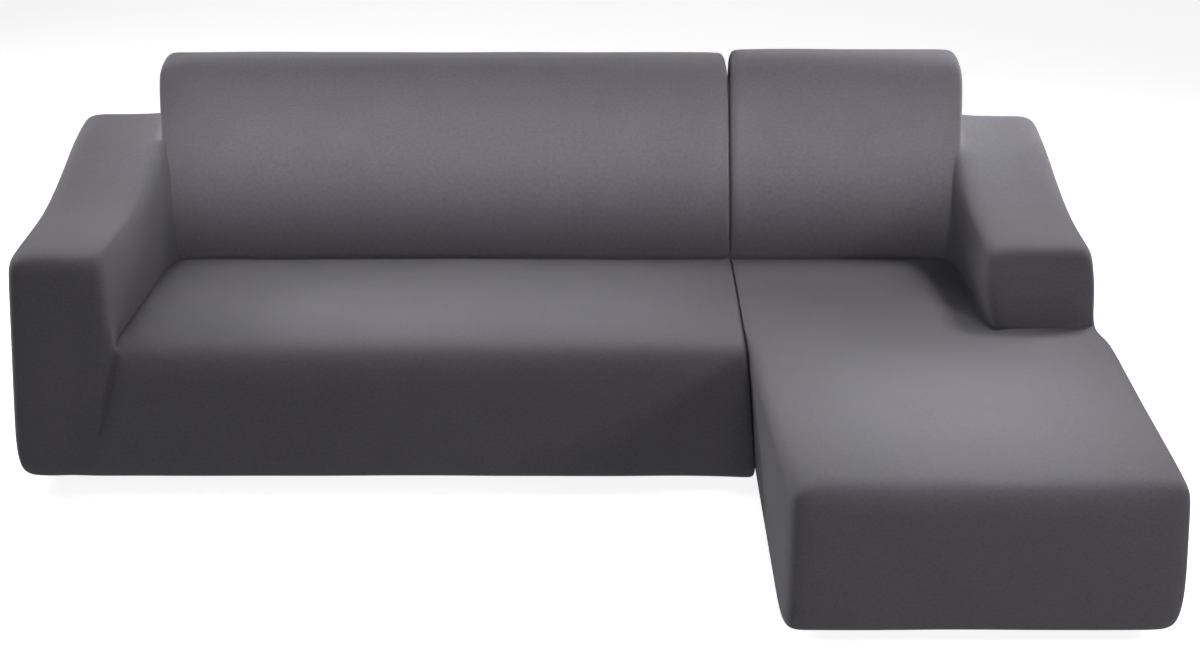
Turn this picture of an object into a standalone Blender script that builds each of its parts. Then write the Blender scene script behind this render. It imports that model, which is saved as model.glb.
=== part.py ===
"""Stretch-knit slipcover for an L-shaped sofa with its chaise on the right, in two covers.

The main cover takes the left arm, the back and the seat, and the chaise cover takes the right
arm, its part of the back and the long seat. Both are thin knit, hollow and open underneath, with
the hem drawn under the sofa's edge.

Each cover starts as a cage: the boundary of a few blocks (seat, back, arm) on named lines. The
cage is draped, which means that its points are moved to the cloth's real places, and a
subdivision surface rounds it, tightly where two lines lie close together. The smooth skin is cut
along its seams, and every panel becomes a sheet with the cloth's thickness.

Metres, +Z up, +X to the sitter's left, +Y to the back. Lengths in the tables count from the
corner below the left arm's front, at the hem; the finished panels are moved so that the origin
lies on the underside of the main seat's cloth.
"""
import math

import bpy
import numpy as np

CLOTH = 0.002            # thickness of the knit
SEAM = 0.0004            # distance between two panels along a seam
HEM_TURN = 0.055         # width of the hem that is drawn under the edge
HEM_RISE = 0.014         # its elastic draws the free edge up by this

WIDTH = 2.80             # both covers, at seat height
DEPTH = 0.941            # front of the main seat to the rear face
CHAISE_REACH = 0.826     # the chaise's front beyond the main seat's front
SEAT = 0.347             # heights above the hem
BACK = 0.906
CHAISE_BACK = 0.915
MAIN_END = 1.918         # right end of the main cover
CHAISE_END = 1.925       # left end of the chaise cover
CREASE = 0.737           # front of the main seat to the crease at the back

ARM_WIDTH = 0.265        # left arm at its front
RIGHT_ARM_WIDTH = 0.285
LEFT_ARM_HEIGHTS = (0.594, 0.724)    # at the front and at the back
RIGHT_ARM_HEIGHTS = (0.560, 0.720)
LEFT_ARM_RISE = (0.36, 0.92)    # where the arm's top starts and ends its rise
RIGHT_ARM_RISE = (0.42, 0.95)
ARM_SET_BACK = 0.175     # front of the right arm behind the main seat's front

BACK_LEAN = 0.035        # how far the back's face leans at the top
BACK_BULGE = 0.032       # how far it bows out in the middle
SEAT_CROWN = 0.012
APRON_BULGE = 0.008
ARM_EDGE = 0.062         # how far the rounding of an arm's inner edge reaches
LEFT_ARM_SPREAD = 0.028  # how much thicker the arm is where it meets the back
RIGHT_ARM_SPREAD = 0.008
BACK_INSET = 0.025       # from there to the end of the back, which stands over the arm
CREASE_TUCK = 0.022      # how deep the cloth is tucked in behind the seat
CREASE_DROP = 0.008      # and how far the seat drops into the crease
ARM_TUCK = 0.014         # the same tuck beside the arms
SPLIT_LEAN = 0.035       # the split between the covers leans to the left up to the seat
BACK_SPLIT_LEAN = 0.015  # and by this much more up to the top of the back
BACK_GAP = 0.003         # each cover's back stands off the split by this at the top
LEFT_LEAN = (-0.026, 0.014)     # outer face of the left arm, at the hem and at the arm's top
RIGHT_LEAN = (0.030, 0.014, -0.030)     # the right side at the hem, the seat and the arm's top
CHAISE_SPREAD = 0.026    # just before the arm, the chaise is wider than the arm by this
ARM_PULL = 0.090         # the crease between seat front and arm front runs aside by this
PULL_DEPTH = 0.020       # and is this deep at the top
PULL_SHARE = 0.6         # the lines beside the crease move by this share of the pull
PULL_CURVE = 0.7         # below 1, the pull eases off more quickly near the seat
HEM_DROP = 0.027         # the hem's edge is drawn down by this before it turns under
BULGE_CURVE = 0.7        # below 1, the back bows out most below its middle
APRON_CURVE = 0.5        # below 1, the apron bows out right from its ends
CROWN_CURVE = 4          # the seat's crown stays level up to near its front and its crease

ORIGIN = (WIDTH / 2, 0.35, 0.3536)     # on the underside of the main seat's cloth

SMOOTHING = 1            # levels of the subdivision surface
MITRE_LIMIT = 0.2        # below this share of the main direction, faces count as parallel
HOLLOW = 0.12            # how far the next face rises over the plane of the one beside it
SHARP_CORNER = 0.5       # a border's corner is drawn in by no more than the seam over this
SHARP_ANGLE = math.radians(50)    # shading breaks where two faces meet at more than this

MAIN_X = {"outer": 0.0, "outer soft": 0.080, "back end": ARM_WIDTH - ARM_EDGE,
          "inner": ARM_WIDTH,
          "seat soft": 0.345, "seat a": 0.86, "seat b": 1.38, "end soft": 1.855,
          "end": MAIN_END}
MAIN_Y = {"front": 0.0, "front soft": 0.090, "arm a": 0.28, "arm b": 0.44, "arm c": 0.60,
          "crease": CREASE, "back soft": 0.800, "rear soft": 0.880, "rear": DEPTH}
MAIN_Z = {"hem": 0.0, "hem soft": 0.058, "seat soft": 0.252, "seat": SEAT,
          "low": 0.430, "arm soft": 0.530, "arm": LEFT_ARM_HEIGHTS[0], "back soft": 0.842,
          "back": BACK}

CHAISE_X = {"end": CHAISE_END, "end soft": 1.985, "seat a": 2.22, "seat soft": 2.435,
            "inner": WIDTH - RIGHT_ARM_WIDTH, "back end": WIDTH - RIGHT_ARM_WIDTH + ARM_EDGE,
            "outer soft": 2.725,
            "outer": WIDTH}
CHAISE_Y = {"front": -CHAISE_REACH, "front soft": -0.768, "seat a": -0.46, "seat b": -0.12,
            "before arm": 0.105, "arm": ARM_SET_BACK, "arm soft": 0.245, "arm a": 0.44,
            "arm b": 0.60, "crease": CREASE, "back soft": 0.800, "rear soft": 0.880,
            "rear": DEPTH}
CHAISE_Z = {"hem": 0.0, "hem soft": 0.058, "seat soft": 0.288, "seat": SEAT,
            "low": 0.430, "arm soft": 0.500, "arm": RIGHT_ARM_HEIGHTS[0], "back soft": 0.850,
            "back": CHAISE_BACK}

# block, then its first and last line along X, Y and Z
MAIN_BLOCKS = (
    ("seat", "inner", "end", "front", "crease", "hem", "seat"),
    ("back", "back end", "end", "crease", "rear", "hem", "back"),
    ("arm", "outer", "inner", "front", "rear", "hem", "arm"),
)
CHAISE_BLOCKS = (
    ("seat", "end", "outer", "front", "arm", "hem", "seat"),
    ("seat", "end", "inner", "arm", "crease", "hem", "seat"),
    ("back", "end", "back end", "crease", "rear", "hem", "back"),
    ("arm", "inner", "outer", "arm", "rear", "hem", "arm"),
)

SIDES = {"left": (-1, 0, 0), "right": (1, 0, 0), "front": (0, -1, 0), "rear": (0, 1, 0),
         "below": (0, 0, -1), "above": (0, 0, 1)}

# which panel a block's face belongs to
MAIN_PANELS = {
    ("seat", "above"): "main_seat", ("seat", "front"): "main_seat",
    ("seat", "right"): "main_right_end", ("back", "right"): "main_right_end",
    ("back", "front"): "main_inside_back", ("back", "above"): "main_inside_back",
    ("back", "left"): "main_back_end",
    ("back", "rear"): "main_outside_back", ("arm", "rear"): "main_arm_rear",
    ("arm", "above"): "main_arm", ("arm", "right"): "main_arm",
    ("arm", "front"): "main_arm_front", ("arm", "left"): "main_left_side",
}
CHAISE_PANELS = {
    ("seat", "above"): "chaise_seat", ("seat", "front"): "chaise_seat",
    ("seat", "left"): "chaise_left_end", ("back", "left"): "chaise_left_end",
    ("back", "front"): "chaise_inside_back", ("back", "above"): "chaise_inside_back",
    ("back", "right"): "chaise_back_end",
    ("back", "rear"): "chaise_outside_back", ("arm", "rear"): "chaise_arm_rear",
    ("arm", "above"): "chaise_arm", ("arm", "left"): "chaise_arm",
    ("arm", "front"): "chaise_arm_front",
    ("arm", "right"): "chaise_arm_side", ("seat", "right"): "chaise_right_side",
}

KNIT_COLOUR = (0.155, 0.152, 0.165, 1.0)
KNIT_ROUGHNESS = 0.9


def smoothstep(value):
    """0 below 0, 1 above 1, and an S between."""
    t = min(max(value, 0.0), 1.0)
    return t * t * (3.0 - 2.0 * t)


def between(value, low, high):
    """How far value is on its way from low to high, held to 0..1."""
    return min(max((value - low) / (high - low), 0.0), 1.0)


def arm_rise(y, heights, rise):
    """How far an arm's top has risen at y: level at the front, then an S up to the back."""
    return (heights[1] - heights[0]) * smoothstep((y - rise[0]) / (rise[1] - rise[0]))


def back_face(z):
    """Y of the back's face: it leans back and bows out."""
    t = between(z, SEAT, BACK)
    return CREASE + BACK_LEAN * t - BACK_BULGE * math.sin(math.pi * t ** BULGE_CURVE)


class Cage:
    """Blocks on named lines, and the quads of their boundary, each with the name of its panel."""

    def __init__(self, x_lines, y_lines, z_lines, blocks, panels):
        self.lines = (list(x_lines.values()), list(y_lines.values()), list(z_lines.values()))
        self.names = (list(x_lines), list(y_lines), list(z_lines))
        self.block_of = {}
        for block, *ends in blocks:
            spans = []
            for axis in range(3):
                first = self.names[axis].index(ends[2 * axis])
                last = self.names[axis].index(ends[2 * axis + 1])
                spans.append(range(first, last))
            for i in spans[0]:
                for j in spans[1]:
                    for k in spans[2]:
                        self.block_of[i, j, k] = block
        self.last = tuple(len(lines) - 2 for lines in self.lines)
        self.corners = {}
        self.quads = []
        self.quad_panels = []
        for cell, block in self.block_of.items():
            for side, step in SIDES.items():
                beyond = tuple(c + s for c, s in zip(cell, step))
                if beyond in self.block_of:
                    continue
                panel = self.hem_panel(cell, panels) if side == "below" else panels[block, side]
                if panel:
                    self.add_quad(cell, step, panel)

    def hem_panel(self, cell, panels):
        """The hem runs under the outer row of cells and belongs to the panel above it."""
        i, j, _ = cell
        block = self.block_of[cell]
        if j == 0:
            return panels[block, "front"]
        if j == self.last[1]:
            return panels[block, "rear"]
        if i == 0:
            return panels[block, "left"]
        if i == self.last[0]:
            return panels[block, "right"]
        return None

    def add_quad(self, cell, step, panel):
        """The cell's face towards step, with its corners counter-clockwise from outside."""
        axis = [abs(s) for s in step].index(1)
        u, v = (axis + 1) % 3, (axis + 2) % 3
        ring = [(0, 0), (1, 0), (1, 1), (0, 1)]
        if step[axis] < 0:
            ring.reverse()
        quad = []
        for du, dv in ring:
            corner = list(cell)
            corner[axis] += max(step[axis], 0)
            corner[u] += du
            corner[v] += dv
            quad.append(self.corners.setdefault(tuple(corner), len(self.corners)))
        self.quads.append(tuple(quad))
        self.quad_panels.append(panel)

    def line_name(self, axis, corner):
        return self.names[axis][corner[axis]]

    def drape(self, place):
        """The corners' real places, as place(names, x, y, z) gives them."""
        points = []
        for corner in self.corners:
            names = tuple(self.line_name(axis, corner) for axis in range(3))
            x, y, z = (self.lines[axis][corner[axis]] for axis in range(3))
            x, y, z = place(names, x, y, z)
            points.append(self.turned_hem(corner, x, y, z))
        return points

    def turned_hem(self, corner, x, y, z):
        """The hem's free edge lies HEM_TURN inside the outline and HEM_RISE above it."""
        i, j, k = corner
        inside = 0 < i <= self.last[0] and 0 < j <= self.last[1]
        if k > 0 or not inside:
            return x, y, z
        xs, ys = self.lines[0], self.lines[1]
        if i == 1:
            x = xs[0] + HEM_TURN
        if i == self.last[0]:
            x = xs[-1] - HEM_TURN
        if j == 1:
            y = ys[0] + HEM_TURN
        if j == self.last[1]:
            y = ys[-1] - HEM_TURN
        return x, y, z + HEM_RISE


def lift_arm_lines(z, y, heights, rise):
    """Lines above the seat follow the arm's top, and settle again towards the top of the back."""
    up = between(z, SEAT, heights[0])
    down = between(z, heights[0], BACK)
    return z + arm_rise(y, heights, rise) * up * (1.0 - down)


def crown(x, y, x_ends, y_ends):
    """1 in the middle of the seat and 0 at its edges."""
    u = 2.0 * between(x, *x_ends) - 1.0
    v = 2.0 * between(y, *y_ends) - 1.0
    return (1.0 - u * u) * (1.0 - v ** CROWN_CURVE)


def lean_back(y, z):
    """Behind the crease, lines keep their share of the way from the back's face to the rear."""
    face = back_face(z)
    share = between(y, CREASE, DEPTH)
    return face + share * (DEPTH - face)


def split_shift(y, z):
    """How far the split between the covers lies from its place at the hem."""
    low = SPLIT_LEAN * between(z, 0.0, SEAT) * between(y, -CHAISE_REACH, 0.0)
    return -low - BACK_SPLIT_LEAN * between(z, SEAT, BACK)


def apron_bulge(x, z, x_ends):
    """How far a seat's front bows out between its ends."""
    if not 0.0 < z < SEAT:
        return 0.0
    return APRON_BULGE * math.sin(math.pi * between(x, *x_ends)) ** APRON_CURVE


def arm_line_shift(on_x, y, spread):
    """Shift of the arm's inner lines away from its outer face, from its front to the back."""
    if on_x == "inner":
        return spread * between(y, 0.0, CREASE)
    if on_x == "back end" and y >= CREASE:
        return ARM_EDGE + spread - BACK_INSET
    return 0.0


def front_pull(on_x, z):
    """How far the arm's pull takes the lines on the main cover's front to the left."""
    share = {"back end": PULL_SHARE, "inner": 1.0, "seat soft": PULL_SHARE}.get(on_x, 0.0)
    return share * ARM_PULL * (1.0 - between(z, 0.0, SEAT)) ** PULL_CURVE


def place_main(names, x, y, z):
    """Where a corner of the main cover's cage lies on the sofa."""
    on_x, on_y, on_z = names
    above_seat = z > SEAT
    in_crease = on_z == "seat" and on_y == "crease"
    if on_z == "seat" and x >= ARM_WIDTH:
        z += SEAT_CROWN * crown(x, y, (ARM_WIDTH, MAIN_END), (0.0, CREASE))
    if above_seat:
        z = lift_arm_lines(z, y, LEFT_ARM_HEIGHTS, LEFT_ARM_RISE)
    x += arm_line_shift(on_x, y, LEFT_ARM_SPREAD)
    if on_x == "inner" and on_z == "seat" and 0.0 < y < CREASE:
        x -= ARM_TUCK
        z -= ARM_TUCK
    if on_x in ("outer", "outer soft"):
        low, high = LEFT_LEAN
        x += low + (high - low) * between(z, 0.0, LEFT_ARM_HEIGHTS[1])
    if on_x in ("end", "end soft"):
        x += split_shift(y, z) - BACK_GAP * between(z, SEAT, BACK)
    if above_seat and y >= CREASE:
        y = lean_back(y, z)
    if in_crease:
        y += CREASE_TUCK
        z -= CREASE_DROP
    if on_y == "front" and x > ARM_WIDTH:
        y -= apron_bulge(x, z, (ARM_WIDTH, MAIN_END))
    if on_y == "front" or on_z == "hem" and on_y == "front soft":
        x -= front_pull(on_x, z)
    if on_x == "inner" and on_y == "front" and z <= SEAT:
        y += PULL_DEPTH * smoothstep(between(z, MAIN_Z["hem soft"], SEAT))
    if on_z == "hem":
        z -= HEM_DROP
    return x, y, z


def place_chaise(names, x, y, z):
    """Where a corner of the chaise cover's cage lies on the sofa."""
    on_x, on_y, on_z = names
    above_seat = z > SEAT
    in_crease = on_z == "seat" and on_y == "crease"
    if on_z == "seat":
        z += SEAT_CROWN * crown(x, y, (CHAISE_END, WIDTH), (-CHAISE_REACH, CREASE))
    if above_seat:
        z = lift_arm_lines(z, y, RIGHT_ARM_HEIGHTS, RIGHT_ARM_RISE)
    x -= arm_line_shift(on_x, y, RIGHT_ARM_SPREAD)
    if on_x == "inner" and on_z == "seat" and ARM_SET_BACK <= y < CREASE:
        x += ARM_TUCK
        z -= ARM_TUCK
    if on_y == "arm" and on_z == "seat" and on_x in ("inner", "back end", "outer soft"):
        y += ARM_TUCK
        z -= ARM_TUCK
    if on_x in ("outer", "outer soft"):
        low, middle, high = RIGHT_LEAN
        x += low + (middle - low) * between(z, 0.0, SEAT)
        x += (high - middle) * between(z, CHAISE_Z["low"], RIGHT_ARM_HEIGHTS[1])
        if y < ARM_SET_BACK:
            x += CHAISE_SPREAD * between(z, 0.0, SEAT) * between(y, -CHAISE_REACH, ARM_SET_BACK)
    if on_x in ("end", "end soft"):
        x += split_shift(y, z) + BACK_GAP * between(z, SEAT, BACK)
    if above_seat and y >= CREASE:
        y = lean_back(y, z)
    if in_crease:
        y += CREASE_TUCK
        z -= CREASE_DROP
    if on_y == "front":
        y -= apron_bulge(x, z, (CHAISE_END, WIDTH))
    if on_z == "hem":
        z -= HEM_DROP
    return x, y, z


def knit(name):
    """Dark grey matt knit."""
    material = bpy.data.materials.new(name)
    material.use_nodes = True
    shader = material.node_tree.nodes["Principled BSDF"]
    shader.inputs["Base Color"].default_value = KNIT_COLOUR
    shader.inputs["Roughness"].default_value = KNIT_ROUGHNESS
    shader.inputs["Metallic"].default_value = 0.0
    return material


def crease_hollow_edges(mesh):
    """Edges where two faces meet in a hollow stay sharp: the cloth is tucked in there."""
    faces_at = {}
    for polygon in mesh.polygons:
        for key in polygon.edge_keys:
            faces_at.setdefault(key, []).append(polygon)
    creases = mesh.attributes.new("crease_edge", "FLOAT", "EDGE")
    for edge in mesh.edges:
        faces = faces_at[tuple(sorted(edge.vertices))]
        if len(faces) == 2:
            away = faces[1].center - faces[0].center
            hollow = faces[0].normal.dot(away.normalized()) > HOLLOW
            creases.data[edge.index].value = 1.0 if hollow else 0.0


def smooth_skin(name, points, quads, slots):
    """The cage's subdivision surface: its points, its quads and each quad's slot."""
    mesh = bpy.data.meshes.new(name)
    mesh.from_pydata(points, [], quads)
    mesh.attributes.new("material_index", "INT", "FACE")
    mesh.attributes["material_index"].data.foreach_set("value", slots)
    mesh.update()
    crease_hollow_edges(mesh)
    cage = bpy.data.objects.new(name, mesh)
    bpy.context.collection.objects.link(cage)
    surface = cage.modifiers.new("Subdivision", "SUBSURF")
    surface.levels = SMOOTHING
    surface.render_levels = SMOOTHING
    evaluated = cage.evaluated_get(bpy.context.evaluated_depsgraph_get())
    skin = evaluated.to_mesh()
    skin_points = np.array([vertex.co[:] for vertex in skin.vertices])
    skin_quads = [tuple(polygon.vertices) for polygon in skin.polygons]
    skin_slots = [polygon.material_index for polygon in skin.polygons]
    evaluated.to_mesh_clear()
    bpy.data.objects.remove(cage)
    return skin_points, skin_quads, skin_slots


def unit(vector):
    return vector / max(np.linalg.norm(vector), 1e-12)


def quad_normal(points, quad):
    """Normal of a quad, from its diagonals."""
    a, b, c, d = points[list(quad)]
    return unit(np.cross(c - a, d - b))


def inward_steps(points, quads):
    """For each point, the step to the cloth's inner face: CLOTH deep below each face around it."""
    normals_at = [[] for _ in points]
    for quad in quads:
        normal = quad_normal(points, quad)
        for corner in quad:
            normals_at[corner].append(normal)
    steps = np.empty_like(points)
    for corner, normals in enumerate(normals_at):
        around = np.array(normals)
        wanted = np.full(len(normals), -CLOTH)
        steps[corner] = np.linalg.lstsq(around, wanted, rcond=MITRE_LIMIT)[0]
    return steps


def border_of(quads):
    """The directed edges that only one quad of the panel has."""
    edges = {}
    for quad in quads:
        for place, corner in enumerate(quad):
            edges[corner, quad[(place + 1) % 4]] = quad
    return {edge: quad for edge, quad in edges.items() if edge[::-1] not in edges}


def seam_steps(points, border):
    """Steps that draw a panel's border in by half a seam, along the cloth."""
    pulls = {}
    for (start, end), quad in border.items():
        inwards = unit(np.cross(quad_normal(points, quad), points[end] - points[start]))
        pulls.setdefault(start, []).append(inwards)
        pulls.setdefault(end, []).append(inwards)
    steps = {}
    for corner, (first, second) in pulls.items():
        mitre = max(1.0 + first @ second, SHARP_CORNER)
        steps[corner] = (first + second) / mitre * SEAM / 2
    return steps


def split_quad(points, quad):
    """Two triangles, cut along the shorter diagonal."""
    a, b, c, d = quad
    if np.linalg.norm(points[a] - points[c]) <= np.linalg.norm(points[b] - points[d]):
        return (a, b, c), (a, c, d)
    return (a, b, d), (b, c, d)


def wall_triangles(a, b, count, forwards):
    """The wall below a border edge; both panels at a seam cut theirs along the same diagonal."""
    if forwards:
        return (b, a, a + count), (b, a + count, b + count)
    return (b, a, b + count), (a, a + count, b + count)


def make_panel(name, points, quads, steps_in, parent):
    """One panel as a closed sheet: outer face, inner face and the wall along its border."""
    border = border_of(quads)
    pulls = seam_steps(points, border)
    used = sorted({corner for quad in quads for corner in quad})
    outer_of = {corner: number for number, corner in enumerate(used)}
    count = len(used)
    outer = np.array([points[corner] + pulls.get(corner, 0.0) for corner in used])
    inner = outer + steps_in[used]
    faces = []
    for quad in quads:
        for a, b, c in split_quad(points, quad):
            triangle = (outer_of[a], outer_of[b], outer_of[c])
            faces.append(triangle)
            faces.append(tuple(number + count for number in reversed(triangle)))
    for start, end in border:
        a, b = outer_of[start], outer_of[end]
        faces.extend(wall_triangles(a, b, count, start < end))
    vertices = np.vstack((outer, inner)) - np.array(ORIGIN)
    mesh = bpy.data.meshes.new(name)
    mesh.from_pydata(vertices.tolist(), [], faces)
    mesh.materials.append(knit(name))
    mesh.shade_smooth()
    mesh.set_sharp_from_angle(angle=SHARP_ANGLE)
    panel = bpy.data.objects.new(name, mesh)
    panel.parent = parent
    bpy.context.collection.objects.link(panel)


def make_cover(name, lines, blocks, panels, place):
    """A whole cover: cage, smooth skin, then one sheet for each panel."""
    cage = Cage(*lines, blocks, panels)
    names = sorted(set(cage.quad_panels))
    slots = [names.index(panel) for panel in cage.quad_panels]
    skin = smooth_skin(name, cage.drape(place), cage.quads, slots)
    points, quads, skin_slots = skin
    steps_in = inward_steps(points, quads)
    cover = bpy.data.objects.new(name, None)
    bpy.context.collection.objects.link(cover)
    for slot, panel in enumerate(names):
        own = [quad for quad, quad_slot in zip(quads, skin_slots) if quad_slot == slot]
        make_panel(panel, points, own, steps_in, cover)


for leftover in list(bpy.data.objects):
    bpy.data.objects.remove(leftover)
make_cover("main_cover", (MAIN_X, MAIN_Y, MAIN_Z), MAIN_BLOCKS, MAIN_PANELS, place_main)
make_cover("chaise_cover", (CHAISE_X, CHAISE_Y, CHAISE_Z), CHAISE_BLOCKS, CHAISE_PANELS,
           place_chaise)
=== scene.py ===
"""A stretch-knit sofa slipcover in two covers, in the L shape to which they are drawn tight.

The frame brings the panels' solids. Each cover is shown as one skin of knit that stands for its
panels. Lengths are metres. The tables count X from the left arm's outer face, Y back from the
main seat's front and Z up from the hem, and FRAME_CORNER takes them into the frame.
"""
import math

import bpy
import numpy as np
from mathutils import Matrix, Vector


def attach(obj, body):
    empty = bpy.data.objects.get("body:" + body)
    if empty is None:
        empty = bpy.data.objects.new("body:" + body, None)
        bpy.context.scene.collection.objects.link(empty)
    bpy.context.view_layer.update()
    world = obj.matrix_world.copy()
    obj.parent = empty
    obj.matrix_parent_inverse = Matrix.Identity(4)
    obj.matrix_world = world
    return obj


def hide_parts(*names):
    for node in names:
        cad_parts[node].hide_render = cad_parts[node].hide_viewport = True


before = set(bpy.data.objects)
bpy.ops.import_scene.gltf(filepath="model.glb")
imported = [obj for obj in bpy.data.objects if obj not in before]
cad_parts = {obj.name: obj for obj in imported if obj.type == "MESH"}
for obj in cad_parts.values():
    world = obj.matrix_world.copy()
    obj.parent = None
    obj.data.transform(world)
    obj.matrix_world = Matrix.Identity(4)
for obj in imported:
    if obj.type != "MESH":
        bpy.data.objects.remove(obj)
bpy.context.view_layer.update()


# ---- Studio -------------------------------------------------------------------------------
# A pale floor a little below the hem, and plain soft light: large lights in front, to the right
# and behind on both sides, small ones over the arms, seats and back. The camera looks down on
# the covers' front from the photo's angle.
FRAME_CORNER = np.array((1.40, 0.35, 0.3536))  # the frame's origin, as the tables count
FLOOR_DEPTH = 0.052              # from the hem down to the floor
FLOOR_HALF = 40.0                # half of the floor's width
FLOOR_COLOUR = (0.86, 0.86, 0.865, 1.0)
FLOOR_ROUGHNESS = 0.95
FLOOR_GLOW = 0.86                # the floor is lit from below, as a white studio table is
WHITE = (1.0, 1.0, 1.0, 1.0)

CAMERA_PLACE = (1.509, -5.057, 2.336)
CAMERA_PITCH = math.radians(20.967)
CAMERA_FOCUS = 2128.5            # focal length in the picture's pixels
PICTURE_WIDTH = 1200             # pixels
SENSOR = 36.0                    # millimetres

# name, place, the point it is aimed at, size across and along, spread in degrees, power in watts
SOFTBOXES = (
    ("front_fill", (1.40, -5.40, 1.20), (1.40, 0.00, 0.30), (3.0, 1.4), 180, 46.0),
    ("right_fill", (4.60, -2.20, 2.00), (1.40, 0.00, 0.30), (0.8, 0.8), 180, 21.0),
    ("behind_right", (5.20, 2.10, 1.70), (2.20, -0.20, 0.36), (0.8, 0.8), 180, 42.0),
    ("behind_left", (-2.60, 2.40, 2.20), (1.20, 0.00, 0.40), (1.2, 1.2), 180, 108.0),
    ("over_right_arm", (3.20, 1.00, 1.90), (2.70, 0.75, 0.66), (0.4, 0.4), 180, 17.0),
    ("over_left_arm", (-0.30, 0.50, 2.00), (0.10, 0.50, 0.60), (0.5, 0.5), 180, 3.5),
    ("over_seat", (1.00, 0.30, 3.00), (1.00, 0.30, 0.40), (1.6, 0.5), 40, 2.1),
    ("on_seat", (1.05, -1.00, 3.00), (1.05, 0.35, 0.36), (1.4, 0.1), 14, 0.5),
    ("over_chaise", (2.35, -0.50, 3.00), (2.35, -0.45, 0.36), (0.5, 0.5), 30, 1.7),
    ("on_back", (1.45, -3.00, 2.60), (1.45, 0.72, 0.70), (2.5, 0.1), 9, 2.3),
)
WORLD_STRENGTH = 0.03

floor_z = -FRAME_CORNER[2] - FLOOR_DEPTH
floor_mesh = bpy.data.meshes.new("floor")
floor_mesh.from_pydata(
    [(-FLOOR_HALF, -FLOOR_HALF, floor_z), (FLOOR_HALF, -FLOOR_HALF, floor_z),
     (FLOOR_HALF, FLOOR_HALF, floor_z), (-FLOOR_HALF, FLOOR_HALF, floor_z)],
    [], [(0, 1, 2, 3)])
floor_paint = bpy.data.materials.new("floor_paint")
floor_paint.use_nodes = True
floor_shader = floor_paint.node_tree.nodes["Principled BSDF"]
floor_shader.inputs["Base Color"].default_value = FLOOR_COLOUR
floor_shader.inputs["Roughness"].default_value = FLOOR_ROUGHNESS
floor_shader.inputs["Emission Color"].default_value = WHITE
floor_shader.inputs["Emission Strength"].default_value = FLOOR_GLOW
floor_mesh.materials.append(floor_paint)
floor = bpy.data.objects.new("floor", floor_mesh)
floor.visible_diffuse = False
bpy.context.collection.objects.link(floor)

for box_name, place, aim, (across, along), spread, power in SOFTBOXES:
    box_light = bpy.data.lights.new(box_name, "AREA")
    box_light.shape = "RECTANGLE"
    box_light.size = across
    box_light.size_y = along
    box_light.spread = math.radians(spread)
    box_light.energy = power
    softbox = bpy.data.objects.new(box_name, box_light)
    softbox.location = Vector(place) - Vector(FRAME_CORNER)
    softbox.rotation_euler = (Vector(aim) - Vector(place)).to_track_quat("-Z", "Y").to_euler()
    softbox.visible_camera = False
    bpy.context.collection.objects.link(softbox)

bpy.context.scene.view_settings.view_transform = "Standard"
world = bpy.data.worlds.new("studio")
world.use_nodes = True
background = world.node_tree.nodes["Background"]
background.inputs["Color"].default_value = WHITE
background.inputs["Strength"].default_value = WORLD_STRENGTH
bpy.context.scene.world = world

lens = bpy.data.cameras.new("camera")
lens.sensor_width = SENSOR
lens.lens = SENSOR * CAMERA_FOCUS / PICTURE_WIDTH
camera = bpy.data.objects.new("camera", lens)
camera.location = Vector(CAMERA_PLACE) - Vector(FRAME_CORNER)
camera.rotation_euler = (math.pi / 2 - CAMERA_PITCH, 0.0, 0.0)
bpy.context.collection.objects.link(camera)
bpy.context.scene.camera = camera


# ---- Knit ---------------------------------------------------------------------------------
# Both covers are one matt stretch knit in dark grey: fine rows of stitches, yarn that is a
# little lighter and darker along its length, and a soft bloom of loose fibres on top.
KNIT_DARK = (0.118, 0.1105, 0.1295, 1.0)
KNIT_LIGHT = (0.1995, 0.188, 0.2165, 1.0)
WALES_PER_METRE = 420.0          # columns of stitches
COURSES_PER_METRE = 520.0        # rows of stitches
STITCH_DEPTH = 0.0004
LOOP_SHARE = 0.35                # height of a stitch's loop beside that of its column
YARN_RELIEF = 2.0                # height of the yarn's unevenness beside that of its column
BUMP_STRENGTH = 0.55

# cells of noise per metre in U and V, and the share of each kind of noise in the tone
YARN_IN_ROWS = (170.0, 620.0, 1.0)
YARN_IN_COLUMNS = (620.0, 170.0, 1.0)
MOTTLE = (95.0, 125.0, 1.0)
PATCHES = (9.0, 9.0, 1.0)
YARN_SHARE = 0.55
MOTTLE_SHARE = 0.33
PATCHES_SHARE = 0.12
TONE_ENDS = (0.30, 0.70)         # the tones of KNIT_DARK and KNIT_LIGHT

ROUGHNESS = 0.93
YARN_GLOSS = 0.12                # the lighter yarn is smoother by up to this
SPECULAR = 0.25
BLOOM = 0.35                     # weight of the sheen
BLOOM_ROUGHNESS = 0.55
BLOOM_TINT = (0.865, 0.86, 0.885, 1.0)


def add_node(tree, kind, **values):
    """A node of a kind, with its properties, or its inputs by name, set."""
    node = tree.nodes.new(kind)
    for key, value in values.items():
        if hasattr(node, key):
            setattr(node, key, value)
        else:
            node.inputs[key.replace("_", " ")].default_value = value
    return node


def calculate(tree, operation, first, second=0.0, third=0.0):
    """The output of one Math node; each operand is a socket or a number."""
    node = tree.nodes.new("ShaderNodeMath")
    node.operation = operation
    for place_number, operand in enumerate((first, second, third)):
        if isinstance(operand, (int, float)):
            node.inputs[place_number].default_value = operand
        else:
            tree.links.new(operand, node.inputs[place_number])
    return node.outputs[0]


def yarn_noise(tree, vector, stretch, detail):
    """Noise that is drawn out along the yarn: stretch is its cells per metre in U and V."""
    mapping = add_node(tree, "ShaderNodeMapping")
    mapping.inputs["Scale"].default_value = stretch
    tree.links.new(vector, mapping.inputs["Vector"])
    noise = add_node(tree, "ShaderNodeTexNoise", Scale=1.0, Detail=detail, Roughness=0.6)
    tree.links.new(mapping.outputs["Vector"], noise.inputs["Vector"])
    return noise.outputs["Fac"]


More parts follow.
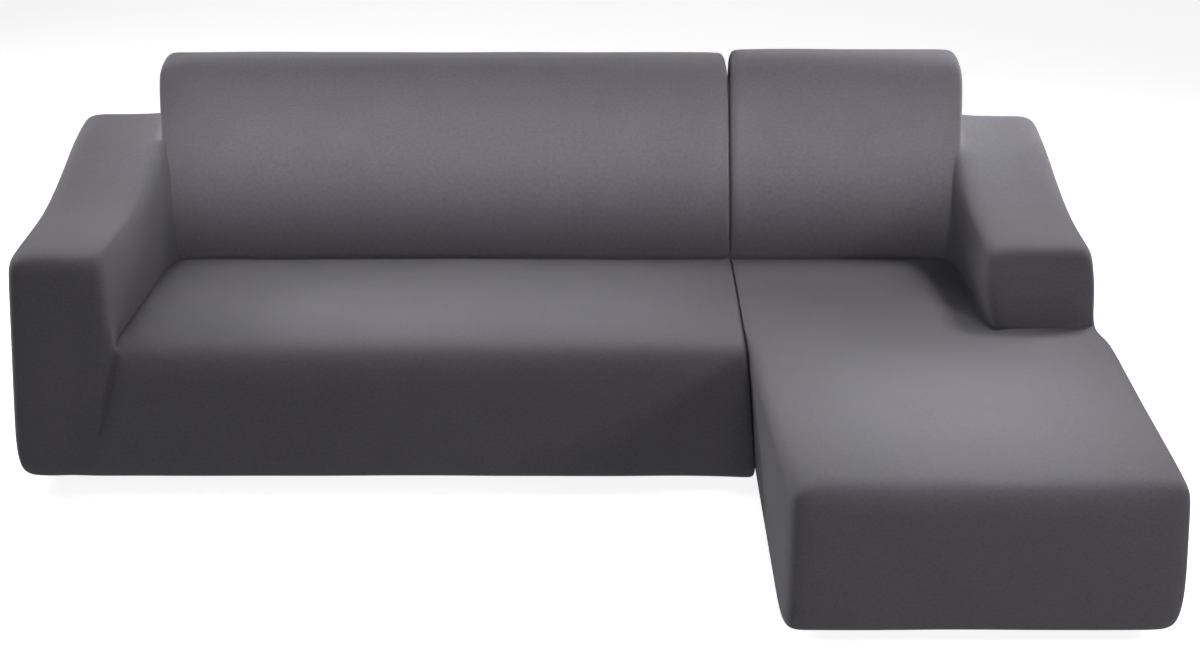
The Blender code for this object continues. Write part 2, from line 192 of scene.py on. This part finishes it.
def stretch_knit(name):
    """A stitch's height is sin(tau * a) + LOOP_SHARE * sin(tau * (course + a)), where a runs from
    0 to a half and back across each wale. The tone is the sum of the noises by their shares."""
    material = bpy.data.materials.new(name)
    material.use_nodes = True
    tree = material.node_tree
    shader = tree.nodes["Principled BSDF"]
    cloth = add_node(tree, "ShaderNodeUVMap", uv_map="cloth").outputs["UV"]
    parts = add_node(tree, "ShaderNodeSeparateXYZ")
    tree.links.new(cloth, parts.inputs["Vector"])
    wale = calculate(tree, "MULTIPLY", parts.outputs["X"], WALES_PER_METRE)
    course = calculate(tree, "MULTIPLY", parts.outputs["Y"], COURSES_PER_METRE)
    across = calculate(tree, "PINGPONG", wale, 0.5)
    slant = calculate(tree, "ADD", course, across)
    loop = calculate(tree, "SINE", calculate(tree, "MULTIPLY", slant, math.tau))
    ridge = calculate(tree, "SINE", calculate(tree, "MULTIPLY", across, math.tau))
    stitch = calculate(tree, "MULTIPLY_ADD", loop, LOOP_SHARE, ridge)

    in_rows = yarn_noise(tree, cloth, YARN_IN_ROWS, 2.0)
    in_columns = yarn_noise(tree, cloth, YARN_IN_COLUMNS, 2.0)
    mottle = yarn_noise(tree, cloth, MOTTLE, 2.0)
    patches = yarn_noise(tree, cloth, PATCHES, 3.0)
    yarn = calculate(tree, "MULTIPLY", calculate(tree, "ADD", in_rows, in_columns), 0.5)
    uneven = calculate(tree, "MULTIPLY", mottle, MOTTLE_SHARE)
    uneven = calculate(tree, "MULTIPLY_ADD", patches, PATCHES_SHARE, uneven)
    tone = calculate(tree, "MULTIPLY_ADD", yarn, YARN_SHARE, uneven)
    colours = add_node(tree, "ShaderNodeValToRGB")
    for ramp_end, position, colour in zip(colours.color_ramp.elements, TONE_ENDS,
                                          (KNIT_DARK, KNIT_LIGHT)):
        ramp_end.position = position
        ramp_end.color = colour
    tree.links.new(tone, colours.inputs["Fac"])
    tree.links.new(colours.outputs["Color"], shader.inputs["Base Color"])

    relief = calculate(tree, "MULTIPLY_ADD", yarn, YARN_RELIEF, stitch)
    bump = add_node(tree, "ShaderNodeBump", Strength=BUMP_STRENGTH, Distance=STITCH_DEPTH)
    tree.links.new(relief, bump.inputs["Height"])
    tree.links.new(bump.outputs["Normal"], shader.inputs["Normal"])
    roughness = calculate(tree, "MULTIPLY_ADD", yarn, -YARN_GLOSS, ROUGHNESS)
    tree.links.new(roughness, shader.inputs["Roughness"])
    shader.inputs["Specular IOR Level"].default_value = SPECULAR
    shader.inputs["Sheen Weight"].default_value = BLOOM
    shader.inputs["Sheen Roughness"].default_value = BLOOM_ROUGHNESS
    shader.inputs["Sheen Tint"].default_value = BLOOM_TINT
    return material


knit = stretch_knit("stretch_knit")


# ---- Main cover ---------------------------------------------------------------------------
# Stretch knit over the left arm, the back and the seat, tucked in behind and beside the seat and
# turned in under the edge. Drawn tight, it has few folds: a pull runs down from the corner between
# seat and arm, and the front of the arm is drawn in beside it.
DEPTH = 0.941                    # from the main seat's front to the back's rear
SEAT = 0.347                     # heights above the hem
BACK = 0.906
MAIN_END = 1.9202
CREASE = 0.737                   # from the main seat's front to the tuck behind it
CHAISE_REACH = 0.826             # how far the chaise stands out in front of the main seat
CLOTH = 0.002
HEM_TURN = 0.055                 # width of the part that is turned in
HEM_DROP = 0.027                 # makes up for the height that rounding takes off the hem
HEM_RISE = 0.014

ARM_WIDTH = 0.265
ARM_EDGE = 0.062                 # from the arm's inner face to the back's end
LEFT_ARM_HEIGHTS = (0.594, 0.724)  # in front and at the back
LEFT_ARM_RISE = (0.36, 0.92)     # the arm's top rises between these places along Y
LEFT_ARM_SPREAD = 0.028          # the arm is wider at the back by this
LEFT_LEAN = (-0.026, 0.014)      # shift of the outer side at the hem and at the arm's top

BACK_LEAN = 0.035
BACK_BULGE = 0.032
BULGE_CURVE = 0.7                # below 1, the back bows out most below its middle
BACK_INSET = 0.025
SEAT_CROWN = 0.012
APRON_BULGE = 0.008
CREASE_TUCK = 0.032              # how far the cloth is tucked in behind the seat
CREASE_DROP = 0.024              # and down
ARM_TUCK = 0.024                 # in and down beside the arms
SPLIT_LEAN = 0.035
BACK_SPLIT_LEAN = 0.015
BACK_GAP = 0.001                 # each back stays this far from the split at its top

ARM_PULL = 0.120                 # the pull runs aside by this on its way to the hem
PULL_SHARE = 0.6                 # the lines beside it go along by this share
PULL_CURVE = 1.7                 # above 1, it turns aside more and more quickly
PULL_DEPTH = 0.014               # and lies this far behind the front at the seat's edge
STEP_DEPTH = 0.020               # how far the arm's front lies behind the pull
STEP_SIDE = 0.009                # the pull starts this far to the right of the arm's inner face
STEP_REACH = 0.075               # width over which the arm's front comes forward again
STEP_EDGE = 0.006                # half the width of the step itself
STEP_HEIGHTS = (0.095, 0.215, 0.295, 0.352)  # it is at full depth between the middle two
STEP_BACK = (0.02, 0.08)         # faces this far behind the front are moved less and less
SWELL_HEIGHT = 0.0012            # of the slow swells all over the cloth

LONGEST_CELL = 0.180             # longer spaces between two lines are divided evenly
SMOOTHING = 3                    # rounds of subdivision
TINY = 1e-6                      # places closer than this count as one

# the lines of the cage along each axis, by name
MAIN_X = {"outer": 0.0, "outer soft": 0.080, "back end": ARM_WIDTH - ARM_EDGE,
          "crease left": 0.240, "inner": ARM_WIDTH, "crease right": 0.292, "seat soft": 0.345,
          "seat a": 0.86, "seat b": 1.38, "end soft": 1.890, "end": MAIN_END}
MAIN_Y = {"front": 0.0, "front soft": 0.090, "tuck": 0.702, "crease": CREASE, "back soft": 0.800,
          "rear soft": 0.880, "rear": DEPTH}
MAIN_Z = {"hem": 0.0, "hem soft": 0.058, "seat soft": 0.252, "seat": SEAT, "low": 0.430,
          "arm soft": 0.530, "arm": LEFT_ARM_HEIGHTS[0], "back soft": 0.842, "back": BACK}

# filled blocks: first and last line along X, Y and Z
MAIN_BLOCKS = (
    ("inner", "end", "front", "crease", "hem", "seat"),
    ("back end", "end", "crease", "rear", "hem", "back"),
    ("outer", "inner", "front", "rear", "hem", "arm"),
)

# edges that are softer or tighter than their lines make them: first and last line along X, Y
# and Z, and the shift of the corners there
MAIN_EDGES = (
    ("outer", "end", "crease", "crease", "back", "back", (0.0, 0.018, -0.013)),
    ("seat soft", "seat b", "crease", "crease", "back soft", "back soft", (0.0, 0.0, -0.027)),
    ("outer", "end", "back soft", "back soft", "back", "back", (0.0, 0.021, 0.004)),
    ("outer", "end", "rear", "rear", "back", "back", (0.0, -0.014, -0.006)),
    ("back end", "back end", "crease", "rear", "back", "back", (0.011, 0.0, -0.004)),
    ("back end", "back end", "crease", "rear", "back soft", "back soft", (0.0, 0.0, 0.012)),
    ("crease left", "inner", "crease", "rear", "back", "back", (0.014, 0.0, 0.0)),
    ("end", "end", "crease", "rear", "back", "back", (-0.010, 0.0, -0.004)),
    ("outer", "inner", "front", "front", "arm", "arm", (0.0, 0.016, -0.010)),
    ("inner", "inner", "front", "crease", "arm", "arm", (-0.010, 0.0, -0.014)),
    ("crease left", "crease left", "front", "crease", "arm", "arm", (0.0, 0.0, -0.004)),
    ("inner", "inner", "front", "front", "low", "arm", (-0.006, 0.012, 0.0)),
    ("crease left", "crease left", "front", "front", "low", "arm", (-0.004, 0.004, 0.0)),
    ("crease left", "crease right", "front", "front", "hem soft", "seat", (STEP_SIDE, 0.0, 0.0)),
    ("crease right", "end", "front", "front", "seat", "seat", (0.0, 0.014, -0.010)),
    ("outer", "outer", "front", "front soft", "hem", "hem", (0.014, 0.0, 0.006)),
    ("end soft", "end", "front", "front", "hem soft", "hem soft", (0.0, 0.0, -0.030)),
    ("end soft", "end", "front soft", "front soft", "hem", "hem soft", (0.0, -0.050, 0.0)),
    ("end", "end", "front soft", "crease", "seat soft", "seat soft", (0.0, 0.0, 0.060)),
)

# soft troughs and ridges in the drawn cloth: start, end, half width, depth inwards (ridges < 0)
MAIN_FOLDS = (
    ((0.300, 0.000, 0.330), (0.225, -0.008, 0.060), 0.030, -0.0050),
    ((0.160, 0.000, 0.400), (0.125, 0.000, 0.000), 0.050, 0.0120),
    ((0.235, 0.000, 0.540), (0.215, 0.000, 0.300), 0.030, -0.0025),
    ((0.225, 0.240, 0.610), (0.255, 0.520, 0.660), 0.045, 0.0050),
    ((1.020, -0.008, 0.060), (1.180, -0.008, 0.010), 0.035, 0.0020),
    ((1.560, -0.008, 0.260), (1.880, -0.004, 0.080), 0.050, 0.0030),
    ((0.520, -0.008, 0.120), (0.900, -0.008, 0.030), 0.050, 0.0018),
)

# swells of the drawn cloth: radians per metre along X, Y and Z, phase, share
SWELLS = (
    ((5.3, 1.7, 3.1), 0.0, 1.0),
    ((8.9, 6.1, -4.7), 1.3, 1.0),
    ((17.0, -11.0, 9.0), 0.6, 0.6),
)


def share(value, low, high):
    """How far value is on its way from low to high, held to 0..1."""
    return np.clip((value - low) / (high - low), 0.0, 1.0)


def ease(value):
    """The S curve t * t * (3 - 2 * t) over 0..1."""
    return value * value * (3.0 - 2.0 * value)


def by_line(place, lines, values):
    """The values that are given for named lines, and straight from one to the next between."""
    return np.interp(place, [lines[name] for name in values], list(values.values()))


def divided(lines):
    """The lines' places, with evenly spaced ones added where two are over LONGEST_CELL apart."""
    places = np.array(list(lines.values()))
    parts_between = np.ceil(np.diff(places) / LONGEST_CELL - TINY).astype(int)
    cells = [np.linspace(low, high, count, endpoint=False)
             for low, high, count in zip(places[:-1], places[1:], parts_between)]
    return np.append(np.concatenate(cells), places[-1])


def filled_cells(axes, lines, blocks):
    """True for each cell between the divided lines that lies in a block."""
    filled = np.zeros([len(axis) - 1 for axis in axes], bool)
    for block in blocks:
        spans = []
        for axis, places in enumerate(axes):
            first = np.searchsorted(places, lines[axis][block[2 * axis]] - TINY)
            last = np.searchsorted(places, lines[axis][block[2 * axis + 1]] - TINY)
            spans.append(slice(first, last))
        filled[tuple(spans)] = True
    return filled


def boundary_quads(filled):
    """Corner numbers (N, 4, 3) of the filled cells' open faces, seen counter-clockwise, and the
    axis that each faces. Below, only the outer row of cells is kept, for the turned hem."""
    padded = np.pad(filled, 1)
    inner_rows = np.zeros_like(filled)
    inner_rows[1:-1, 1:-1, :] = True
    corners, facings = [], []
    for axis in range(3):
        for step in (-1, 1):
            beyond = np.roll(padded, -step, axis)[1:-1, 1:-1, 1:-1]
            open_cells = filled & ~beyond
            if axis == 2 and step < 0:
                open_cells &= ~inner_rows
            cells = np.argwhere(open_cells)
            ring = np.array([(0, 0), (1, 0), (1, 1), (0, 1)])[::step]
            offsets = np.zeros((4, 3), int)
            offsets[:, (axis + 1) % 3] = ring[:, 0]
            offsets[:, (axis + 2) % 3] = ring[:, 1]
            offsets[:, axis] = max(step, 0)
            corners.append(cells[:, None, :] + offsets)
            facings.append(np.full(len(cells), axis))
    return np.concatenate(corners), np.concatenate(facings)


def shift_edges(places, draped, lines, edges):
    """Adds each row's shift to the corners between its first and last line on every axis."""
    for *spans, shift in edges:
        there = np.ones(places[0].shape, bool)
        for axis, place in enumerate(places):
            there &= place > lines[axis][spans[2 * axis]] - TINY
            there &= place < lines[axis][spans[2 * axis + 1]] + TINY
        for axis in range(3):
            draped[axis][there] += shift[axis]


def turned_hem(x, y, z, axes):
    """The hem's free edge is HEM_TURN inside the outline, and drawn up by HEM_RISE."""
    z[1:-1, 1:-1, 0] += HEM_RISE
    x[1, 1:-1, 0] = axes[0][0] + HEM_TURN
    x[-2, 1:-1, 0] = axes[0][-1] - HEM_TURN
    y[1:-1, 1, 0] = axes[1][0] + HEM_TURN
    y[1:-1, -2, 0] = axes[1][-1] - HEM_TURN


def hollow_edges(mesh, filled, grid_corners):
    """Marks the edges with three filled cells around them: there the cloth is tucked in."""
    padded = np.pad(filled, 1).astype(int)
    pairs = np.empty(len(mesh.edges) * 2, int)
    mesh.edges.foreach_get("vertices", pairs)
    ends = grid_corners[pairs.reshape(-1, 2)]
    low = ends.min(axis=1)
    runs_along = np.abs(ends[:, 1] - ends[:, 0]).argmax(axis=1)
    around = np.zeros(len(low), int)
    for first in (0, 1):
        for second in (0, 1):
            cell = low + 1
            rows = np.arange(len(cell))
            cell[rows, (runs_along + 1) % 3] -= first
            cell[rows, (runs_along + 2) % 3] -= second
            around += padded[tuple(cell.T)]
    crease = mesh.attributes.new("crease_edge", "FLOAT", "EDGE")
    crease.data.foreach_set("value", (around == 3).astype(np.float32))


def cloth_uv(axes, corners, facings):
    """U and V in metres along the cloth: U runs sideways, V up or back; ends use Y for U."""
    flat = np.stack([axes[axis][corners[..., axis]] for axis in range(3)], axis=-1)
    u = np.where((facings == 0)[:, None], flat[..., 1], flat[..., 0])
    v = np.where((facings == 2)[:, None], flat[..., 1], flat[..., 2] - SEAT)
    return np.stack((u, v), axis=-1)


def along_fold(points, start, end, half_width):
    """exp(-(distance / half_width)^2) from the line between start and end, times the root of a
    half sine along it: 1 in the middle of the line, 0 away from it and at both of its ends."""
    start, end = np.array(start), np.array(end)
    run = end - start
    place = (points - start) @ run / (run @ run)
    held = np.clip(place, 0.0, 1.0)
    apart = np.linalg.norm(points - start - held[:, None] * run, axis=1)
    return np.exp(-(apart / half_width) ** 2) * np.sin(math.pi * np.clip(place, 0.02, 0.98)) ** 0.5


def unevenness(points):
    """The mean of the SWELLS' sine waves by their shares, eased off to none at the split."""
    swell = sum(part * np.sin(points @ np.array(wave) + phase) for wave, phase, part in SWELLS)
    held = share(np.abs(points[:, 0] - MAIN_END), 0.01, 0.15)
    return held * swell / sum(part for _, _, part in SWELLS)


def pressed_folds(points, folds):
    """How far the folds take points inwards: the sum of each fold's depth along its line."""
    return sum(depth * along_fold(points, start, end, half_width)
               for start, end, half_width, depth in folds)


def rounded_mesh(name, cage_mesh):
    """The cage's limit after SMOOTHING rounds of Catmull-Clark subdivision, as its own mesh."""
    cage = bpy.data.objects.new(cage_mesh.name, cage_mesh)
    bpy.context.collection.objects.link(cage)
    rounding = cage.modifiers.new("Rounding", "SUBSURF")
    rounding.levels = SMOOTHING
    rounding.render_levels = SMOOTHING
    bpy.context.view_layer.update()
    rounded = cage.evaluated_get(bpy.context.evaluated_depsgraph_get())
    mesh = bpy.data.meshes.new_from_object(rounded)
    mesh.name = name
    bpy.data.objects.remove(cage)
    bpy.data.meshes.remove(cage_mesh)
    return mesh


def drawn_skin(name, lines, blocks, drape, edges, press):
    """The blocks' outer skin: its corners draped and shifted, the cage rounded, then each point
    moved along its normal, in by press and out by SWELL_HEIGHT of the unevenness."""
    axes = [divided(line) for line in lines]
    filled = filled_cells(axes, lines, blocks)
    places = np.meshgrid(*axes, indexing="ij")
    x, y, z = drape(*places)
    shift_edges(places, (x, y, z), lines, edges)
    turned_hem(x, y, z, axes)
    corners, facings = boundary_quads(filled)
    numbers = np.ravel_multi_index(tuple(np.moveaxis(corners, -1, 0)), x.shape)
    used, quads = np.unique(numbers, return_inverse=True)
    quads = quads.reshape(numbers.shape)
    points = np.stack((x, y, z), axis=-1).reshape(-1, 3)[used]
    grid_corners = np.stack(np.unravel_index(used, x.shape), axis=-1)

    cage_mesh = bpy.data.meshes.new(name + "_cage")
    cage_mesh.from_pydata(points, [], quads.tolist())
    cage_mesh.uv_layers.new(name="cloth")
    cage_mesh.uv_layers["cloth"].uv.foreach_set("vector", cloth_uv(axes, corners, facings).ravel())
    hollow_edges(cage_mesh, filled, grid_corners)
    mesh = rounded_mesh(name, cage_mesh)

    skin = np.empty(len(mesh.vertices) * 3)
    normals = np.empty_like(skin)
    mesh.vertices.foreach_get("co", skin)
    mesh.vertex_normals.foreach_get("vector", normals)
    skin = skin.reshape(-1, 3)
    normals = normals.reshape(-1, 3)
    inwards = press(skin) - SWELL_HEIGHT * unevenness(skin)
    skin = skin - inwards[:, None] * normals - FRAME_CORNER
    mesh.vertices.foreach_set("co", skin.ravel())
    mesh.update()
    mesh.shade_smooth()
    mesh.materials.append(knit)
    cover = bpy.data.objects.new(name, mesh)
    bpy.context.collection.objects.link(cover)
    thickness = cover.modifiers.new("Thickness", "SOLIDIFY")
    thickness.thickness = CLOTH
    thickness.offset = -1.0
    return cover


def back_face(z):
    """Y of the back's face: the crease, plus the lean by height, less the bow, a half sine."""
    up = share(z, SEAT, BACK)
    return CREASE + BACK_LEAN * up - BACK_BULGE * np.sin(math.pi * up ** BULGE_CURVE)


def lean_back(y, z):
    """Behind the crease, lines keep their share of the way from the back's face to the rear."""
    face = back_face(z)
    return face + share(y, CREASE, DEPTH) * (DEPTH - face)


def arm_lift(y, z, heights, rise):
    """An arm's rise: an S curve along Y, times the share of the way up from seat to arm, and
    less of it again from the arm to the back's top."""
    lifted = (heights[1] - heights[0]) * ease(share(y, *rise))
    return lifted * share(z, SEAT, heights[0]) * (1.0 - share(z, heights[0], BACK))


def crown(x, y, x_ends, y_ends):
    """(1 - u^2) * (1 - v^4), where u and v run from -1 to 1 across: 0 at a seat's edges."""
    u = 2.0 * share(x, *x_ends) - 1.0
    v = 2.0 * share(y, *y_ends) - 1.0
    return (1.0 - u ** 2) * (1.0 - v ** 4)


def split_shift(y, z):
    """How far the split has moved left: SPLIT_LEAN up to the seat, less in front, and
    BACK_SPLIT_LEAN from there to the back's top."""
    low = SPLIT_LEAN * share(z, 0.0, SEAT) * share(y, -CHAISE_REACH, 0.0)
    return -low - BACK_SPLIT_LEAN * share(z, SEAT, BACK)


def apron_bulge(x, z, x_ends):
    """How far a seat's front bows out below its edge: the root of a half sine along it."""
    bow = np.sqrt(np.sin(math.pi * share(x, *x_ends)))
    return np.where((z > 0.0) & (z < SEAT), APRON_BULGE * bow, 0.0)


def drape_main(x0, y0, z0):
    """Where the main cover's corners lie: their places on the lines plus, one after the other,
    crown, arm rise and spread, tuck, lean, split, back, crease, bulge, pull and hem."""
    above = z0 > SEAT
    on_seat = z0 == SEAT
    on_inner = x0 == ARM_WIDTH
    z = z0 + SEAT_CROWN * crown(x0, y0, (ARM_WIDTH, MAIN_END), (0.0, CREASE)) * (
        on_seat & (x0 >= ARM_WIDTH))
    z += arm_lift(y0, z0, LEFT_ARM_HEIGHTS, LEFT_ARM_RISE) * above
    spread = by_line(x0, MAIN_X, {"back end": 0.0, "inner": 1.0, "crease right": 1.0,
                                  "seat soft": 0.0})
    x = x0 + LEFT_ARM_SPREAD * share(y0, 0.0, CREASE) * spread
    behind = by_line(x0, MAIN_X, {"outer soft": 0.0, "back end": 1.0, "inner": 0.0})
    x += (ARM_EDGE + LEFT_ARM_SPREAD - BACK_INSET) * behind * (y0 >= CREASE)
    tucked = on_inner & on_seat & (y0 > 0.0) & (y0 < CREASE)
    x -= ARM_TUCK * tucked
    z -= ARM_TUCK * tucked
    lean = np.interp(z, (0.0, LEFT_ARM_HEIGHTS[1]), LEFT_LEAN)
    x += lean * (1.0 - share(x0, MAIN_X["outer soft"], MAIN_X["back end"]))
    at_end = share(x0, MAIN_X["seat b"], MAIN_X["end soft"])
    x += at_end * (split_shift(y0, z) - BACK_GAP * share(z, SEAT, BACK))
    y = np.where(above & (y0 >= CREASE), lean_back(y0, z), y0)
    in_crease = on_seat & (y0 == CREASE)
    y += CREASE_TUCK * in_crease
    z -= CREASE_DROP * in_crease
    in_front = y0 == 0.0
    y -= apron_bulge(x, z, (ARM_WIDTH, MAIN_END)) * (in_front & (x0 > ARM_WIDTH))
    pulled = by_line(x0, MAIN_X, {"outer soft": 0.0, "back end": PULL_SHARE, "inner": 1.0,
                                  "seat soft": PULL_SHARE, "seat a": 0.0})
    pulled *= in_front | (z0 == 0.0) & (y0 == MAIN_Y["front soft"])
    x -= ARM_PULL * pulled * (1.0 - share(z, 0.0, SEAT)) ** PULL_CURVE
    y += PULL_DEPTH * ease(share(z, MAIN_Z["hem soft"], MAIN_Z["seat soft"])) * (
        on_inner & in_front & (z0 <= SEAT))
    z -= HEM_DROP * (z0 == 0.0)
    return x, y, z


def press_main(points):
    """The folds, plus STEP_DEPTH left of the pull's line: an S curve over the step's edge, times
    exp(-(distance / STEP_REACH)^2) beside it, and within STEP_HEIGHTS and near the front."""
    x, y, z = points.T
    beside = x - ARM_WIDTH - STEP_SIDE + ARM_PULL * (1.0 - share(z, 0.0, SEAT)) ** PULL_CURVE
    step = 1.0 - ease(share(beside, -STEP_EDGE, STEP_EDGE))
    step *= np.exp(-(np.minimum(beside, 0.0) / STEP_REACH) ** 2) * (1.0 - share(y, *STEP_BACK))
    step *= np.interp(z, STEP_HEIGHTS, (0.0, 1.0, 1.0, 0.0))
    return pressed_folds(points, MAIN_FOLDS) + STEP_DEPTH * step


main_cover = drawn_skin("main_cover_cloth", (MAIN_X, MAIN_Y, MAIN_Z), MAIN_BLOCKS, drape_main,
                        MAIN_EDGES, press_main)
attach(main_cover, "root")
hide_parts("main_seat", "main_inside_back", "main_outside_back", "main_back_end",
            "main_right_end", "main_arm", "main_arm_front", "main_arm_rear", "main_left_side")


# ---- Chaise cover -------------------------------------------------------------------------
# The same knit over the right arm, its part of the back and the long seat. It meets the main
# cover edge to edge; its arm stands on the seat, set back, with the cloth tucked in round it.
WIDTH = 2.80                     # of both covers together
CHAISE_END = 1.9217
CHAISE_BACK = 0.915
RIGHT_ARM_WIDTH = 0.285
RIGHT_ARM_HEIGHTS = (0.560, 0.720)
RIGHT_ARM_RISE = (0.42, 0.95)
RIGHT_ARM_SPREAD = 0.008
RIGHT_LEAN = (0.030, 0.014, -0.030)  # shift of the right side at hem, seat and arm's top
ARM_SET_BACK = 0.175             # the arm's front, behind that of the main seat
CHAISE_SPREAD = 0.026            # the seat's right side stands out by this before the arm

CHAISE_X = {"end": CHAISE_END, "end soft": 1.985, "seat a": 2.22, "seat soft": 2.435,
            "inner": WIDTH - RIGHT_ARM_WIDTH, "back end": WIDTH - RIGHT_ARM_WIDTH + ARM_EDGE,
            "outer soft": 2.725, "outer": WIDTH}
CHAISE_Y = {"front": -CHAISE_REACH, "front soft": -0.768, "before arm": 0.105,
            "arm": ARM_SET_BACK, "arm soft": 0.245, "tuck": 0.702, "crease": CREASE,
            "back soft": 0.800, "rear soft": 0.880, "rear": DEPTH}
CHAISE_Z = {"hem": 0.0, "hem soft": 0.058, "seat soft": 0.288, "seat": SEAT, "low": 0.430,
            "arm soft": 0.500, "arm": RIGHT_ARM_HEIGHTS[0], "back soft": 0.850,
            "back": CHAISE_BACK}

CHAISE_BLOCKS = (
    ("end", "outer", "front", "arm", "hem", "seat"),
    ("end", "inner", "arm", "crease", "hem", "seat"),
    ("end", "back end", "crease", "rear", "hem", "back"),
    ("inner", "outer", "arm", "rear", "hem", "arm"),
)

CHAISE_EDGES = (
    ("end", "end", "front soft", "crease", "hem soft", "hem soft", (0.0, 0.0, -0.034)),
    ("end", "end", "front soft", "crease", "hem", "hem", (-0.008, 0.0, -0.004)),
    ("end", "end", "before arm", "crease", "seat soft", "seat soft", (0.0, 0.0, 0.035)),
    ("end soft", "end soft", "before arm", "crease", "seat", "seat", (-0.035, 0.0, 0.0)),
    ("end", "back end", "crease", "crease", "back", "back", (0.0, 0.018, -0.013)),
    ("end soft", "seat soft", "crease", "crease", "back soft", "back soft", (0.0, 0.0, -0.027)),
    ("end", "back end", "back soft", "back soft", "back", "back", (0.0, 0.021, 0.004)),
    ("end", "back end", "rear", "rear", "back", "back", (0.0, -0.014, -0.006)),
    ("back end", "back end", "crease", "rear", "back", "back", (-0.014, 0.0, -0.004)),
    ("inner", "inner", "crease", "rear", "back", "back", (-0.018, 0.0, 0.0)),
    ("end soft", "end soft", "before arm", "rear", "hem", "back", (-0.032, 0.0, 0.0)),
    ("end", "end", "crease", "rear", "back", "back", (0.010, 0.0, -0.004)),
    ("inner", "outer", "arm", "arm", "arm", "arm", (0.0, 0.016, -0.010)),
    ("inner", "inner", "arm", "crease", "arm", "arm", (0.006, 0.0, -0.008)),
    ("inner", "inner", "arm", "arm", "seat", "seat", (0.022, 0.010, 0.0)),
    ("end", "end", "front", "front soft", "seat", "seat", (0.014, 0.0, -0.012)),
    ("end", "outer", "front", "front", "seat", "seat", (0.0, 0.010, -0.008)),
    ("end", "end", "front", "front", "hem", "seat soft", (0.008, 0.008, 0.0)),
    ("outer", "outer", "front", "front soft", "hem", "hem", (-0.018, 0.0, 0.008)),
)

CHAISE_FOLDS = (
    ((1.950, -0.820, 0.345), (2.260, -0.826, 0.350), 0.030, 0.0025),
    ((2.300, -0.822, 0.352), (2.560, -0.826, 0.350), 0.030, -0.0020),
    ((2.600, -0.820, 0.350), (2.790, -0.826, 0.330), 0.030, 0.0020),
    ((1.930, -0.760, 0.290), (1.925, -0.300, 0.230), 0.060, 0.0030),
    ((2.500, 0.100, 0.352), (2.700, 0.110, 0.350), 0.040, 0.0030),
)


def drape_chaise(x0, y0, z0):
    """Where the chaise cover's corners lie: their places on the lines plus, one after the other,
    crown, arm rise and spread, tucks, lean, split, back, crease, bulge and hem."""
    above = z0 > SEAT
    on_seat = z0 == SEAT
    on_inner = x0 == CHAISE_X["inner"]
    z = z0 + SEAT_CROWN * crown(x0, y0, (CHAISE_END, WIDTH), (-CHAISE_REACH, CREASE)) * on_seat
    z += arm_lift(y0, z0, RIGHT_ARM_HEIGHTS, RIGHT_ARM_RISE) * above
    x = x0 - RIGHT_ARM_SPREAD * share(y0, 0.0, CREASE) * on_inner
    behind = (x0 == CHAISE_X["back end"]) & (y0 >= CREASE)
    x -= (ARM_EDGE + RIGHT_ARM_SPREAD - BACK_INSET) * behind
    beside_arm = on_inner & on_seat & (y0 >= ARM_SET_BACK) & (y0 < CREASE)
    x += ARM_TUCK * beside_arm
    z -= ARM_TUCK * beside_arm
    before_arm = (y0 == ARM_SET_BACK) & on_seat & (x0 >= CHAISE_X["inner"]) & (x0 < WIDTH)
    y = y0 + ARM_TUCK * before_arm
    z -= ARM_TUCK * before_arm
    low, middle, high = RIGHT_LEAN
    lean = low + (middle - low) * share(z, 0.0, SEAT)
    lean += (high - middle) * share(z, CHAISE_Z["low"], RIGHT_ARM_HEIGHTS[1])
    lean += np.where(y0 < ARM_SET_BACK, CHAISE_SPREAD * share(z, 0.0, SEAT)
                     * share(y0, -CHAISE_REACH, ARM_SET_BACK), 0.0)
    x += lean * share(x0, CHAISE_X["back end"], CHAISE_X["outer soft"])
    at_end = 1.0 - share(x0, CHAISE_X["end soft"], CHAISE_X["seat a"])
    x += at_end * (split_shift(y0, z) + BACK_GAP * share(z, SEAT, BACK))
    y = np.where(above & (y0 >= CREASE), lean_back(y, z), y)
    in_crease = on_seat & (y0 == CREASE)
    y += CREASE_TUCK * in_crease
    z -= CREASE_DROP * in_crease
    y -= apron_bulge(x, z, (CHAISE_END, WIDTH)) * (y0 == -CHAISE_REACH)
    z -= HEM_DROP * (z0 == 0.0)
    return x, y, z


def press_chaise(points):
    """The chaise's folds alone."""
    return pressed_folds(points, CHAISE_FOLDS)


chaise_cover = drawn_skin("chaise_cover_cloth", (CHAISE_X, CHAISE_Y, CHAISE_Z), CHAISE_BLOCKS,
                          drape_chaise, CHAISE_EDGES, press_chaise)
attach(chaise_cover, "root")
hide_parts("chaise_seat", "chaise_inside_back", "chaise_outside_back",
            "chaise_back_end", "chaise_left_end", "chaise_arm", "chaise_arm_front",
            "chaise_arm_side", "chaise_arm_rear", "chaise_right_side")
